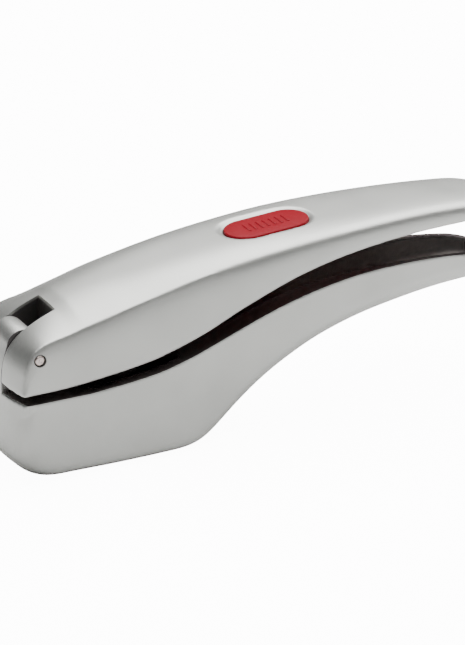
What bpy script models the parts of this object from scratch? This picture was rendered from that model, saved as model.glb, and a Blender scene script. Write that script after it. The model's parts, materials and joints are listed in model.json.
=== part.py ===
"""Garlic press: two cast handles on one hinge, a hanging plunger, a sieve plate
and a red cleaning tool stored in the upper handle.

Frame: +X runs from the hinge to the tips of the handles, +Z is up, and the origin is
the centre of the bounding box on the flat base. The stations below are measured in
millimetres from the hinge axis; HINGE places that axis in the frame.
"""
import math

import bmesh
import bpy

MM = 0.001

# ---------------------------------------------------------------- driving dimensions
HINGE = (-81.9, 0.0, 41.0)      # main hinge axis in the frame
GAP = 0.3                       # clearance between neighbouring pieces
HEAD_HALF = 20.0                # half the width of the head
PIN_RADIUS = 1.6
BORE_RADIUS = 1.95
SLOT_HALF = 6.45                # slot in the upper handle that takes the knuckle
SLOT_BACK = 10.9
KNUCKLE_RADIUS = 5.3
WALL = 2.6

CHAMBER_FRONT = 16.6            # clove chamber in the head of the lower handle
CHAMBER_BACK = 48.2
CHAMBER_HALF = 16.2
LEDGE_Z = -39.3                 # ledge that carries the sieve plate
LEDGE_WIDTH = 3.0
SIEVE_THICK = 2.0
HOLE_PITCH = 3.0
HOLE_RADIUS = 0.9
HOLES_X = 8
HOLES_Y = 8
SIEVE_CENTRE_X = 32.2

PLUNGER_PIN = (31.0, -10.0)     # plunger hinge axis, x and z from the main axis
FOOT_X = (17.0, 46.0)
FOOT_HALF = 15.3
FOOT_Z = (-36.5, -32.0)
LUG_INNER = 8.5
LUG_OUTER = 12.5
LUG_RADIUS = 5.0

WINDOW_X = 87.3                 # window for the cleaner's thumb button
WINDOW_Z = 22.4
WINDOW_SLOPE = math.radians(4.2)
BUTTON_LENGTH = 28.8
BUTTON_WIDTH = 14.9
BUTTON_TOP = 0.4                # height of its face over the window's centre
DISH = 2.0                      # shallow recess round the button

# Upper handle beyond the nose: x, half width, crown, crease and lower edge heights.
UPPER = [
    (15.0, 20.0, 12.1, 7.7, -10.5),
    (22.0, 20.3, 13.9, 9.4, -9.6),
    (30.0, 20.5, 15.6, 11.5, -8.5),
    (40.0, 20.4, 17.4, 13.7, -6.8),
    (55.0, 20.0, 20.0, 16.7, -2.3),
    (70.0, 19.7, 21.9, 19.1, 3.9),
    (87.0, 19.3, 23.2, 21.3, 9.9),
    (100.0, 18.7, 23.8, 22.4, 13.0),
    (115.0, 17.7, 24.1, 23.1, 15.1),
    (130.0, 16.5, 24.2, 23.3, 16.1),
    (145.0, 15.4, 23.9, 23.0, 16.3),
    (160.0, 14.5, 23.0, 22.1, 16.2),
    (173.0, 13.8, 21.6, 20.8, 15.7),
]

# Nose of the upper handle: crown x and z, crease x and z, lower edge x.
UPPER_NOSE = [
    (-7.9, -11.0, -6.3, -10.9, -4.8),
    (-7.5, -7.1, -5.6, -7.3, -2.4),
    (-6.8, -3.1, -4.8, -3.1, 0.0),
    (-5.3, 0.3, -3.5, 0.1, 2.2),
    (-3.1, 2.9, -1.6, 2.7, 4.4),
    (-0.3, 5.1, 1.4, 4.5, 6.4),
    (3.1, 7.1, 4.8, 5.5, 8.4),
    (7.2, 9.0, 8.2, 6.1, 10.4),
    (11.2, 10.5, 11.6, 6.8, 12.6),
]

# Lower handle beyond the nose: x, half width, rim height, underside height, corner radius.
LOWER = [
    (22.0, 20.3, -13.4, -41.0, 5.0),
    (30.0, 20.5, -12.7, -41.0, 5.0),
    (40.0, 20.5, -11.4, -41.0, 5.0),
    (48.0, 20.2, -9.6, -41.0, 5.0),
    (52.0, 19.7, -8.7, -40.8, 5.2),
    (56.0, 19.0, -7.8, -39.9, 5.4),
    (60.0, 18.2, -6.9, -38.0, 5.7),
    (65.0, 17.3, -5.6, -34.7, 6.0),
    (70.0, 16.5, -4.3, -31.3, 6.3),
    (78.0, 15.3, -2.2, -26.4, 6.5),
    (87.0, 14.3, 0.0, -21.7, 6.5),
    (100.0, 13.2, 2.5, -16.3, 6.5),
    (115.0, 12.2, 4.3, -12.2, 6.5),
    (130.0, 11.6, 4.8, -9.6, 6.5),
    (145.0, 11.3, 4.5, -7.7, 6.5),
    (160.0, 10.8, 2.9, -6.8, 6.0),
    (173.0, 10.2, 0.4, -6.9, 5.0),
]

NOSE_RIM = -14.0
# Nose of the lower handle: rim x, underside x and z, bow of the middle, corner radius.
LOWER_NOSE = [
    (-3.6, -7.9, -14.1, 3.0, 5.0),
    (-1.5, -8.2, -18.0, 3.0, 5.0),
    (1.0, -8.8, -23.5, 3.0, 5.2),
    (3.5, -9.2, -28.5, 3.0, 5.8),
    (6.0, -8.8, -32.8, 3.0, 6.8),
    (8.0, -7.0, -36.2, 2.8, 7.4),
    (10.0, -4.1, -38.8, 2.2, 7.2),
    (12.0, 0.0, -40.4, 1.2, 6.4),
    (14.0, 4.8, -41.0, 0.4, 5.8),
    (17.0, 11.0, -41.0, 0.0, 5.4),
]

# Hollow of the lower handle: x, half width.
TROUGH = [
    (55.0, 4.0),
    (58.0, 6.0),
    (64.0, 7.4),
    (72.0, 7.5),
    (83.0, 6.5),
    (95.0, 6.1),
    (107.0, 6.9),
    (118.0, 7.5),
    (130.0, 7.9),
    (145.0, 8.3),
    (157.0, 7.6),
    (164.0, 5.8),
    (168.0, 3.2),
]
TIP_START = 159.0
TIP_END = 173.2


# ---------------------------------------------------------------- scene and materials
def clear_scene():
    for obj in list(bpy.data.objects):
        bpy.data.objects.remove(obj, do_unlink=True)


def new_collection(name):
    collection = bpy.data.collections.new(name)
    bpy.context.scene.collection.children.link(collection)
    return collection


def material(name, colour, roughness, metallic):
    mat = bpy.data.materials.new(name)
    mat.use_nodes = True
    shader = mat.node_tree.nodes["Principled BSDF"]
    shader.inputs["Base Color"].default_value = (*colour, 1.0)
    shader.inputs["Roughness"].default_value = roughness
    shader.inputs["Metallic"].default_value = metallic
    mat.diffuse_color = (*colour, 1.0)
    return mat


# ---------------------------------------------------------------- building blocks
def placed(x, y, z):
    """A point given from the hinge axis in millimetres, in the frame in metres."""
    return ((x + HINGE[0]) * MM, (y + HINGE[1]) * MM, (z + HINGE[2]) * MM)


def finish_mesh(name, bm, collection):
    bmesh.ops.recalc_face_normals(bm, faces=bm.faces)
    mesh = bpy.data.meshes.new(name)
    bm.to_mesh(mesh)
    bm.free()
    obj = bpy.data.objects.new(name, mesh)
    collection.objects.link(obj)
    return obj


def helper(obj):
    """Marks a guide shape that only cuts or joins another piece."""
    obj.hide_render = True
    obj.display_type = "WIRE"
    return obj


def loft(name, rings, collection):
    """Closed skin through rings of equal point counts, capped at both ends."""
    bm = bmesh.new()
    rows = [[bm.verts.new(placed(*point)) for point in ring] for ring in rings]
    count = len(rows[0])
    for row_a, row_b in zip(rows, rows[1:]):
        for i in range(count):
            j = (i + 1) % count
            bm.faces.new((row_a[i], row_a[j], row_b[j], row_b[i]))
    bm.faces.new(rows[0])
    bm.faces.new(rows[-1])
    return finish_mesh(name, bm, collection)


def box(name, low, high, collection, bevel=0.0):
    """Box between two corners, its upright edges rounded by bevel."""
    bm = bmesh.new()
    bmesh.ops.create_cube(bm, size=1.0)
    for vert in bm.verts:
        corner = [low[k] if vert.co[k] < 0 else high[k] for k in range(3)]
        vert.co = placed(*corner)
    if bevel:
        upright = [e for e in bm.edges if abs(e.verts[0].co.z - e.verts[1].co.z) > 1e-6]
        bmesh.ops.bevel(bm, geom=upright, offset=bevel * MM, offset_type="OFFSET",
                        segments=4, profile=0.5, affect="EDGES")
    return finish_mesh(name, bm, collection)


def rod(name, x, z, half, radius, collection, segments=32, lip=0.0):
    """Cylinder across the press, from -half to half, with an optional chamfer."""
    bm = bmesh.new()
    bmesh.ops.create_cone(bm, cap_ends=True, segments=segments, radius1=radius * MM,
                          radius2=radius * MM, depth=2.0 * half * MM)
    if lip:
        rims = [e for e in bm.edges if abs(e.verts[0].co.z - e.verts[1].co.z) < 1e-9]
        bmesh.ops.bevel(bm, geom=rims, offset=lip * MM, offset_type="OFFSET",
                        segments=2, profile=0.5, affect="EDGES")
    centre = placed(x, 0.0, z)
    for vert in bm.verts:
        px, py, pz = vert.co
        vert.co = (centre[0] + px, centre[1] + pz, centre[2] - py)
    return finish_mesh(name, bm, collection)


def stadium(name, length, width, low, high, collection, segments=10):
    """Round-ended bar about the window centre, leaning with the handle's top."""
    half = 0.5 * width
    reach = 0.5 * length - half
    outline = []
    for end in (1.0, -1.0):
        for i in range(segments + 1):
            angle = end * math.pi * 0.5 - math.pi * i / segments
            outline.append((end * reach + half * math.cos(angle), half * math.sin(angle)))
    bm = bmesh.new()
    rows = []
    for height in (low, high):
        row = []
        for u, v in outline:
            x = WINDOW_X + u * math.cos(WINDOW_SLOPE) - height * math.sin(WINDOW_SLOPE)
            z = WINDOW_Z + u * math.sin(WINDOW_SLOPE) + height * math.cos(WINDOW_SLOPE)
            row.append(bm.verts.new(placed(x, v, z)))
        rows.append(row)
    count = len(outline)
    for i in range(count):
        j = (i + 1) % count
        bm.faces.new((rows[0][i], rows[0][j], rows[1][j], rows[1][i]))
    bm.faces.new(rows[0])
    bm.faces.new(rows[1])
    return finish_mesh(name, bm, collection)


def boolean(obj, other, operation):
    mod = obj.modifiers.new(operation.title() + "_" + other.name, "BOOLEAN")
    mod.operation = operation
    mod.solver = "EXACT"
    mod.object = other
    helper(other)


def move_origin(obj, x, z):
    """Puts the object's origin on an axis across the press, its mesh staying put."""
    pivot = placed(x, 0.0, z)
    for vert in obj.data.vertices:
        vert.co = [vert.co[k] - pivot[k] for k in range(3)]
    obj.location = pivot


def smooth(obj, degrees=35.0):
    obj.data.shade_smooth()
    obj.data.set_sharp_from_angle(angle=math.radians(degrees))


# ---------------------------------------------------------------- curves through stations
def between(stations, x):
    """Values at x on a smooth curve through the stations."""
    if x <= stations[0][0]:
        return stations[0][1:]
    if x >= stations[-1][0]:
        return stations[-1][1:]
    k = max(i for i in range(len(stations) - 1) if stations[i][0] <= x)
    first, last = stations[k], stations[k + 1]
    span = last[0] - first[0]
    t = (x - first[0]) / span
    values = []
    for c in range(1, len(first)):
        before = stations[k - 1] if k > 0 else first
        after = stations[k + 2] if k + 2 < len(stations) else last
        slope_a = (last[c] - before[c]) / (last[0] - before[0])
        slope_b = (after[c] - first[c]) / (after[0] - first[0])
        a = 2 * t ** 3 - 3 * t ** 2 + 1
        b = t ** 3 - 2 * t ** 2 + t
        d = -2 * t ** 3 + 3 * t ** 2
        e = t ** 3 - t ** 2
        values.append(a * first[c] + b * slope_a * span + d * last[c] + e * slope_b * span)
    return values


def tip_factor(x):
    """Shrinks the plan towards the round end of a handle."""
    t = max(0.0, (x - TIP_START) / (TIP_END - TIP_START))
    return max(0.0, 1.0 - t ** 2.4) ** (1 / 2.4)


def blend(start, end, x):
    """Rises smoothly from 0 at start to 1 at end."""
    t = min(1.0, max(0.0, (x - start) / (end - start)))
    return t * t * (3 - 2 * t)


def crown_power(x):
    """How square the crown's shoulders are along the upper handle."""
    return 2.4 + 1.6 * blend(15.0, 60.0, x) - 0.8 * blend(110.0, 155.0, x)


def steps(start, end, count):
    return [start + (end - start) * i / count for i in range(count + 1)]


# ---------------------------------------------------------------- upper handle
def upper_ring(apex, crease, edge, half, crease_half, power, crown_points=7, side_points=3):
    """One section: lower edge, side, crease, crown and back down the other side."""
    right = []
    for i in range(side_points + 1):
        t = i / side_points
        y = crease_half + (half - crease_half) * (1 - t ** 2)
        x = edge[0] + (crease[0] - edge[0]) * t
        z = edge[1] + (crease[1] - edge[1]) * t
        right.append((x, y, z))
    for i in range(crown_points - 1, 0, -1):
        f = i / crown_points
        w = f ** power
        x = apex[0] + (crease[0] - apex[0]) * w
        z = apex[1] + (crease[1] - apex[1]) * w
        right.append((x, crease_half * f, z))
    left = [(x, -y, z) for x, y, z in reversed(right)]
    return right + [(apex[0], 0.0, apex[1])] + left


def nose_edge(x):
    """Height of the nose's lower edge, running smoothly into the first station."""
    ahead = UPPER[0][0] - x
    return UPPER[0][4] - 0.09 * ahead + 0.0032 * ahead ** 2


def upper_rings():
    rings = []
    for apex_x, apex_z, crease_x, crease_z, edge_x in UPPER_NOSE:
        rings.append(upper_ring((apex_x, apex_z), (crease_x, crease_z),
                                (edge_x, nose_edge(edge_x)), HEAD_HALF, 19.1,
                                crown_power(0.0)))
    xs = steps(15.0, 155.0, 20) + [159.0, 163.0, 166.5, 169.5, 171.5, 172.6, 173.0]
    for x in xs:
        half, crown, crease, edge = between(UPPER, x)
        f = tip_factor(x)
        middle = 0.5 * (crease + edge)
        squeeze = 0.35 + 0.65 * f
        crown, crease, edge = (middle + (v - middle) * squeeze for v in (crown, crease, edge))
        half *= f
        rings.append(upper_ring((x, crown), (x, crease), (x, edge), half, half - 0.9 * f,
                                crown_power(x)))
    return rings


def channel_ring(x, half, roof, shoulder, crown_points=6):
    """Section of the hollow under the upper handle, open downwards."""
    right = [(x, half, -30.0), (x, half, shoulder)]
    for i in range(crown_points - 1, 0, -1):
        f = i / crown_points
        right.append((x, half * f, roof + (shoulder - roof) * f ** crown_power(x)))
    left = [(px, -py, pz) for px, py, pz in reversed(right)]
    return right + [(x, 0.0, roof)] + left


def channel_rings():
    rings = []
    for x in [13.6] + steps(20.0, 150.0, 16) + [157.0, 162.0, 166.0, 168.5, 169.8]:
        half, crown, crease, _edge = between(UPPER, x)
        f = tip_factor(x + 3.0)
        inner = max(0.5, (half - WALL - 0.4) * f)
        rings.append(channel_ring(x, inner, crown - WALL, crease - WALL + 0.9 * (1 - f)))
    return rings


def build_upper(parts, guides):
    upper = loft("upper_handle", upper_rings(), parts)
    boolean(upper, loft("cut_channel", channel_rings(), guides), "DIFFERENCE")
    px, pz = PLUNGER_PIN
    for side in (-1.0, 1.0):
        lug = build_lug("lug_" + ("near" if side < 0 else "far"), side, guides)
        boolean(upper, lug, "UNION")
    boolean(upper, rod("cut_hinge_bore", 0.0, 0.0, 30.0, BORE_RADIUS, guides), "DIFFERENCE")
    boolean(upper, rod("cut_lug_bore", px, pz, 14.0, BORE_RADIUS, guides), "DIFFERENCE")
    recess = stadium("cut_recess", BUTTON_LENGTH + 2 * DISH, BUTTON_WIDTH + 2 * DISH,
                     -0.4, 9.0, guides)
    boolean(upper, recess, "DIFFERENCE")
    window = stadium("cut_window", BUTTON_LENGTH + 2 * GAP, BUTTON_WIDTH + 2 * GAP,
                     -9.0, 9.0, guides)
    boolean(upper, window, "DIFFERENCE")
    slot = box("cut_slot", (-16.0, -SLOT_HALF, -16.0), (SLOT_BACK, SLOT_HALF, 22.0), guides)
    boolean(upper, slot, "DIFFERENCE")
    smooth(upper)
    return upper


def build_lug(name, side, guides):
    """Hanger from the roof of the channel down around the plunger pin."""
    px, pz = PLUNGER_PIN
    near, far = sorted((side * LUG_INNER, side * LUG_OUTER))
    outline = [(px - LUG_RADIUS, 12.2)]
    for i in range(13):
        angle = math.pi + math.pi * i / 12
        outline.append((px + LUG_RADIUS * math.cos(angle), pz + LUG_RADIUS * math.sin(angle)))
    outline.append((px + LUG_RADIUS, 13.6))
    rings = [[(x, y, z) for x, z in outline] for y in (near, far)]
    return loft(name, rings, guides)


# ---------------------------------------------------------------- lower handle
def lower_ring(rim_x, rim_z, base_x, base_z, half, radius, bow):
    """One section: rim, side, rounded corner, underside and up the other side."""
    height = rim_z - base_z
    depth = max(height, 27.0) if height < 1.0 else height
    radius = min(radius, 0.85 * depth)
    right = []
    for t in (1.0, 0.66, 0.33):
        right.append((half, radius + (depth - radius) * t))
    for i in range(6):
        angle = 0.5 * math.pi * i / 5
        right.append((half - radius * (1 - math.cos(angle)), radius * (1 - math.sin(angle))))
    right.append((0.66 * (half - radius), 0.0))
    right.append((0.33 * (half - radius), 0.0))
    ring = []
    for y, up in right + [(0.0, 0.0)] + [(-y, up) for y, up in reversed(right)]:
        h = up / depth
        x = base_x + bow * (y / HEAD_HALF) ** 2 * (1 - h) + (rim_x - base_x) * h
        ring.append((x, y, base_z + height * h))
    return ring


def lower_rings():
    rings = []
    for rim_x, base_x, base_z, bow, radius in LOWER_NOSE:
        rings.append(lower_ring(rim_x, NOSE_RIM, base_x, base_z, HEAD_HALF, radius, bow))
    xs = [22.0, 27.0, 32.0, 37.0, 42.0, 48.0, 50.0, 52.0, 54.0, 56.0, 58.0, 60.0, 62.5, 65.0]
    xs += steps(70.0, 155.0, 14) + [159.0, 163.0, 166.5, 169.5, 171.5, 172.6, 173.0]
    for x in xs:
        half, rim, base, radius = between(LOWER, x)
        f = tip_factor(x)
        middle = 0.5 * (rim + base)
        squeeze = 0.45 + 0.55 * f
        rim = middle + (rim - middle) * squeeze
        base = middle + (base - middle) * squeeze
        rings.append(lower_ring(x, rim, x, base, half * f, radius * f, 0.0))
    return rings


def trough_rings():
    """Boat-shaped hollow of the lower handle, open at the top."""
    rings = []
    for x in steps(55.0, 157.0, 14) + [160.0, 162.5, 165.0, 167.0, 168.0]:
        half, = between(TROUGH, x)
        _half, rim, base, _radius = between(LOWER, x)
        floor = base + 2.8
        if x < 70.0:
            floor += 6.0 * (70.0 - x) / 15.0
        depth = rim - floor
        radius = min(0.7 * half, 0.6 * depth)
        right = [(x, half + 0.6, rim + 6.0), (x, half, floor + radius)]
        for angle in (30.0, 60.0, 90.0):
            turn = math.radians(angle)
            right.append((x, half - radius * (1 - math.cos(turn)),
                          floor + radius * (1 - math.sin(turn))))
        left = [(px, -py, pz) for px, py, pz in reversed(right)]
        rings.append(right + left)
    return rings


def chamber_cutter(guides):
    """Clove chamber, its front and back walls leaning out a little upwards."""
    cutter = box("cut_chamber", (CHAMBER_FRONT, -CHAMBER_HALF, LEDGE_Z),
                 (CHAMBER_BACK, CHAMBER_HALF, -4.0), guides, bevel=3.0)
    middle = placed(0.5 * (CHAMBER_FRONT + CHAMBER_BACK), 0.0, 0.0)[0]
    top = placed(0.0, 0.0, -4.0)[2]
    for vert in cutter.data.vertices:
        if abs(vert.co.z - top) < 1e-6:
            vert.co.x += -1.8 * MM if vert.co.x < middle else 1.2 * MM
    return cutter


def build_lower(parts, guides):
    lower = loft("lower_handle", lower_rings(), parts)
    boolean(lower, chamber_cutter(guides), "DIFFERENCE")
    outlet = box("cut_outlet",
                 (CHAMBER_FRONT + LEDGE_WIDTH, -CHAMBER_HALF + LEDGE_WIDTH, -46.0),
                 (CHAMBER_BACK - LEDGE_WIDTH, CHAMBER_HALF - LEDGE_WIDTH, -30.0),
                 guides, bevel=2.0)
    boolean(lower, outlet, "DIFFERENCE")
    boolean(lower, loft("cut_trough", trough_rings(), guides), "DIFFERENCE")
    boolean(lower, knuckle(guides), "UNION")
    boolean(lower, rod("cut_knuckle_bore", 0.0, 0.0, 12.0, BORE_RADIUS, guides), "DIFFERENCE")
    smooth(lower)
    return lower


def knuckle(guides):
    """Round head on the hinge axis with a neck down into the nose."""
    half = SLOT_HALF - GAP
    outline = [(-7.5, -15.5)]
    for i in range(19):
        angle = math.radians(197.0 - 197.0 * i / 18)
        outline.append((KNUCKLE_RADIUS * math.cos(angle), KNUCKLE_RADIUS * math.sin(angle)))
    outline.append((7.4, -15.5))
    rings = []
    for y, inset in ((-half, 0.5), (-half + 0.5, 0.0), (half - 0.5, 0.0), (half, 0.5)):
        scale = 1.0 - inset / KNUCKLE_RADIUS
        rings.append([(x * scale, y, z * scale if z > -15.0 else z) for x, z in outline])
    return loft("knuckle", rings, guides)


# ---------------------------------------------------------------- inside the head
def hole_positions(centre_x):
    for i in range(HOLES_X):
        for j in range(HOLES_Y):
            x = centre_x + (i - 0.5 * (HOLES_X - 1)) * HOLE_PITCH
            y = (j - 0.5 * (HOLES_Y - 1)) * HOLE_PITCH
            yield x, y


def joined_pegs(name, centre_x, low, high, radius, tip, collection):
    """All pins or hole cutters of the grid as one object of separate shells."""
    bm = bmesh.new()
    for x, y in hole_positions(centre_x):
        made = bmesh.ops.create_cone(bm, cap_ends=True, segments=8, radius1=tip * MM,
                                     radius2=radius * MM, depth=(high - low) * MM)
        bmesh.ops.translate(bm, verts=made["verts"], vec=placed(x, y, 0.5 * (low + high)))
    return finish_mesh(name, bm, collection)


def build_sieve(parts, guides):
    low = LEDGE_Z + GAP
    sieve = box("sieve_plate",
                (CHAMBER_FRONT + GAP, -CHAMBER_HALF + GAP, low),
                (CHAMBER_BACK - GAP, CHAMBER_HALF - GAP, low + SIEVE_THICK),
                parts, bevel=2.8)
    holes = joined_pegs("cut_holes", SIEVE_CENTRE_X, low - 2.0, low + SIEVE_THICK + 2.0,
                        HOLE_RADIUS, HOLE_RADIUS, guides)
    boolean(sieve, holes, "DIFFERENCE")
    return sieve


def build_plunger(parts, guides):
    px, pz = PLUNGER_PIN
    plunger = box("plunger", (FOOT_X[0], -FOOT_HALF, FOOT_Z[0]),
                  (FOOT_X[1], FOOT_HALF, FOOT_Z[1]), parts, bevel=2.7)
    half = LUG_INNER - GAP
    outline = [(px - 7.0, -33.0), (px - LUG_RADIUS, -27.0)]
    for i in range(13):
        angle = math.pi - math.pi * i / 12
        outline.append((px + LUG_RADIUS * math.cos(angle), pz + LUG_RADIUS * math.sin(angle)))
    outline += [(px + LUG_RADIUS, -27.0), (px + 7.0, -33.0)]
    rings = [[(x, y, z) for x, z in outline] for y in (-half, half)]
    boolean(plunger, loft("stem", rings, guides), "UNION")
    rib = box("rib", (FOOT_X[0] + 3.0, -1.6, -33.0), (FOOT_X[1] - 3.0, 1.6, -28.5), guides)
    boolean(plunger, rib, "UNION")
    boolean(plunger, rod("cut_stem_bore", px, pz, 14.0, BORE_RADIUS, guides), "DIFFERENCE")
    move_origin(plunger, px, pz)
    smooth(plunger)
    return plunger


# ---------------------------------------------------------------- pins and cleaner
def build_pins(parts):
    px, pz = PLUNGER_PIN
    hinge = rod("hinge_pin", 0.0, 0.0, HEAD_HALF - 0.5, PIN_RADIUS, parts, lip=0.25)
    move_origin(hinge, 0.0, 0.0)
    smooth(hinge)
    pivot = rod("plunger_pin", px, pz, LUG_OUTER, PIN_RADIUS, parts, lip=0.25)
    move_origin(pivot, px, pz)
    smooth(pivot)
    return hinge, pivot


def build_cleaner(parts, guides):
    """One moulding: thumb button, bar, and a pad of pins that fit the sieve."""
    cleaner = stadium("cleaner", BUTTON_LENGTH, BUTTON_WIDTH, -5.2, BUTTON_TOP,
                      parts)
    bar = box("bar", (80.0, -5.0, 16.2), (136.0, 5.0, 18.7), guides, bevel=2.5)
    boolean(cleaner, bar, "UNION")
    pad = box("pad", (59.5, -12.2, 15.0), (84.5, 12.2, 16.8), guides, bevel=2.0)
    boolean(cleaner, pad, "UNION")
    boolean(cleaner, joined_pegs("pad_pins", 71.5, 10.8, 16.4, 0.75, 0.55, guides), "UNION")
    smooth(cleaner)
    return cleaner


def main():
    clear_scene()
    parts = new_collection("garlic_press")
    guides = new_collection("guides")
    satin = (0.50, 0.50, 0.485)
    looks = {
        "upper_handle": material("upper_cast", satin, 0.45, 0.55),
        "lower_handle": material("lower_cast", satin, 0.45, 0.55),
        "sieve_plate": material("sieve_steel", (0.55, 0.56, 0.57), 0.3, 1.0),
        "plunger": material("plunger_cast", (0.45, 0.45, 0.44), 0.45, 0.6),
        "hinge_pin": material("hinge_steel", (0.62, 0.56, 0.53), 0.35, 0.9),
        "plunger_pin": material("plunger_pin_steel", (0.6, 0.58, 0.56), 0.3, 1.0),
        "cleaner": material("red_plastic", (0.50, 0.03, 0.04), 0.42, 0.0),
    }
    pieces = [
        build_upper(parts, guides),
        build_lower(parts, guides),
        build_sieve(parts, guides),
        build_plunger(parts, guides),
        *build_pins(parts),
        build_cleaner(parts, guides),
    ]
    for piece in pieces:
        piece.data.materials.append(looks[piece.name])


main()
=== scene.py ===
# %% [markdown]
# Garlic press, built as a lesson
#
# The press is two satin castings on one hinge. Inside the head hangs a plunger over a
# sieve plate, and a red cleaning tool is kept under the upper handle, its button showing
# through a window. The solid model gives the joints, the pins' places and the sizes; this
# script gives each piece its finished surface.

import json
import math

import bmesh
import bpy
from mathutils import Matrix, Vector


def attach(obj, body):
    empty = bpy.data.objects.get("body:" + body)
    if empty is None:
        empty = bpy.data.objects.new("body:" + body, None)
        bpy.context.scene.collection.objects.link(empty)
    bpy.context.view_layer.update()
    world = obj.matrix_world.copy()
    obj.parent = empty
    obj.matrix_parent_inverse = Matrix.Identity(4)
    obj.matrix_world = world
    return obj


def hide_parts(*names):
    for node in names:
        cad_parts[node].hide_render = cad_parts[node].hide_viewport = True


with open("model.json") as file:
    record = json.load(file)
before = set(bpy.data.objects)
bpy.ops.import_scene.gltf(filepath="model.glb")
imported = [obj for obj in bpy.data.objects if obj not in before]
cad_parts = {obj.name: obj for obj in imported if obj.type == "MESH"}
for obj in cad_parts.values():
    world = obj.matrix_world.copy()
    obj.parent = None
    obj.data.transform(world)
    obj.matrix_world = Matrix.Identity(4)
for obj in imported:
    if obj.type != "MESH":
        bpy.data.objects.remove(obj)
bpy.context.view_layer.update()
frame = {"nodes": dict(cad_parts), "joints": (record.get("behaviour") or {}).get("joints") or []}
joints = {joint["name"]: joint for joint in frame["joints"]}
hinge = Vector(joints["handle_hinge"]["pos_m"])
plunger_axis = Vector(joints["plunger_hinge"]["pos_m"])
print("pieces in the solid model:", sorted(frame["nodes"]))

# %% [markdown]
# Every measure below is in millimetres from the hinge axis, because that is how a maker
# would dimension a hinged tool. One small function turns such a point into metres in the
# frame.

# %% Measures from the hinge
MM = 0.001


def at(x, y, z):
    """A point given in millimetres from the hinge axis, in the frame in metres."""
    return hinge + Vector((x, y, z)) * MM


print("hinge axis at", [round(c, 4) for c in hinge])

# %% [markdown]
# The camera comes first, so that every later choice can be judged in the final view. A
# long lens from almost a metre away keeps the handles nearly parallel. It stands to the
# front left and looks down by 23 degrees.

# %% Camera
VIEW_TURN = math.radians(-27.28)
VIEW_TILT = math.radians(23.01)
VIEW_DISTANCE = 850.0
AIM = at(75.26, 0.0, -9.26)

towards_camera = Vector((
    math.sin(VIEW_TURN) * math.cos(VIEW_TILT),
    -math.cos(VIEW_TURN) * math.cos(VIEW_TILT),
    math.sin(VIEW_TILT),
))
camera_data = bpy.data.cameras.new("camera")
camera_data.sensor_width = 36.0
camera_data.lens = 147.8
camera_data.clip_start = 0.05
camera = bpy.data.objects.new("camera", camera_data)
bpy.context.scene.collection.objects.link(camera)
camera.location = AIM + towards_camera * VIEW_DISTANCE * MM
camera.rotation_euler = (-towards_camera).to_track_quat("-Z", "Y").to_euler()
bpy.context.scene.camera = camera
print("camera stands at", [round(c, 3) for c in camera.location])

# %% [markdown]
# Both castings are skins that change their section all along. They could be sculpted, or
# bridged loop by loop. Here a flat grid is wrapped instead: each row of the grid becomes
# one cross-section and each column runs from nose to tip, so the whole form follows from
# a few stations, and any of them can be moved without touching the rest.

# %% Stations of the upper handle
# x, half width, crown height, crease height, lower edge height
UPPER = [
    (15.0, 20.0, 12.1, 7.7, -10.5),
    (22.0, 20.3, 13.9, 9.4, -9.6),
    (30.0, 20.5, 15.6, 11.5, -8.5),
    (40.0, 20.4, 17.4, 13.7, -6.8),
    (55.0, 20.0, 20.0, 16.7, -2.3),
    (70.0, 19.7, 21.9, 19.1, 3.9),
    (87.0, 19.3, 23.2, 21.3, 9.9),
    (100.0, 18.7, 23.8, 22.4, 13.0),
    (115.0, 17.7, 24.1, 23.1, 15.1),
    (130.0, 16.5, 24.2, 23.3, 16.1),
    (145.0, 15.4, 23.9, 23.0, 16.3),
    (160.0, 14.5, 23.0, 22.1, 16.2),
    (173.0, 13.8, 21.6, 20.8, 15.7),
]
# step, crown x and z, crease x and z, lower edge x, round the nose
UPPER_NOSE = [
    (0, -7.9, -11.0, -6.3, -10.9, -4.8),
    (1, -7.5, -7.1, -5.6, -7.3, -2.4),
    (2, -6.8, -3.1, -4.8, -3.1, 0.0),
    (3, -5.3, 0.3, -3.5, 0.1, 2.2),
    (4, -3.1, 2.9, -1.6, 2.7, 4.4),
    (5, -0.3, 5.1, 1.4, 4.5, 6.4),
    (6, 3.1, 7.1, 4.8, 5.5, 8.4),
    (7, 7.2, 9.0, 8.2, 6.1, 10.4),
    (8, 11.2, 10.5, 11.6, 6.8, 12.6),
]
HEAD_HALF = 20.0
TIP_START = 159.0
TIP_END = 173.2
UPPER_TIP = 0.35    # share of its height that the upper handle keeps at the tip
LOWER_TIP = 0.45    # and the lower handle


def between(stations, x):
    """Values at x on a smooth curve through the stations."""
    if x <= stations[0][0]:
        return stations[0][1:]
    if x >= stations[-1][0]:
        return stations[-1][1:]
    k = max(i for i in range(len(stations) - 1) if stations[i][0] <= x)
    first, last = stations[k], stations[k + 1]
    before = stations[max(k - 1, 0)]
    after = stations[min(k + 2, len(stations) - 1)]
    span = last[0] - first[0]
    t = (x - first[0]) / span
    weights = (
        2 * t ** 3 - 3 * t ** 2 + 1,
        (t ** 3 - 2 * t ** 2 + t) * span / (last[0] - before[0]),
        -2 * t ** 3 + 3 * t ** 2,
        (t ** 3 - t ** 2) * span / (after[0] - first[0]),
    )
    return [
        weights[0] * first[c]
        + weights[1] * (last[c] - before[c])
        + weights[2] * last[c]
        + weights[3] * (after[c] - first[c])
        for c in range(1, len(first))
    ]


def tip_share(x):
    """How much of the full width is left on the way to a handle's round tip."""
    t = max(0.0, (x - TIP_START) / (TIP_END - TIP_START))
    return max(0.0, 1.0 - t ** 2.4) ** (1 / 2.4)


def blend(start, end, x):
    """Rises smoothly from 0 at start to 1 at end."""
    t = min(1.0, max(0.0, (x - start) / (end - start)))
    return t * t * (3 - 2 * t)


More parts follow.
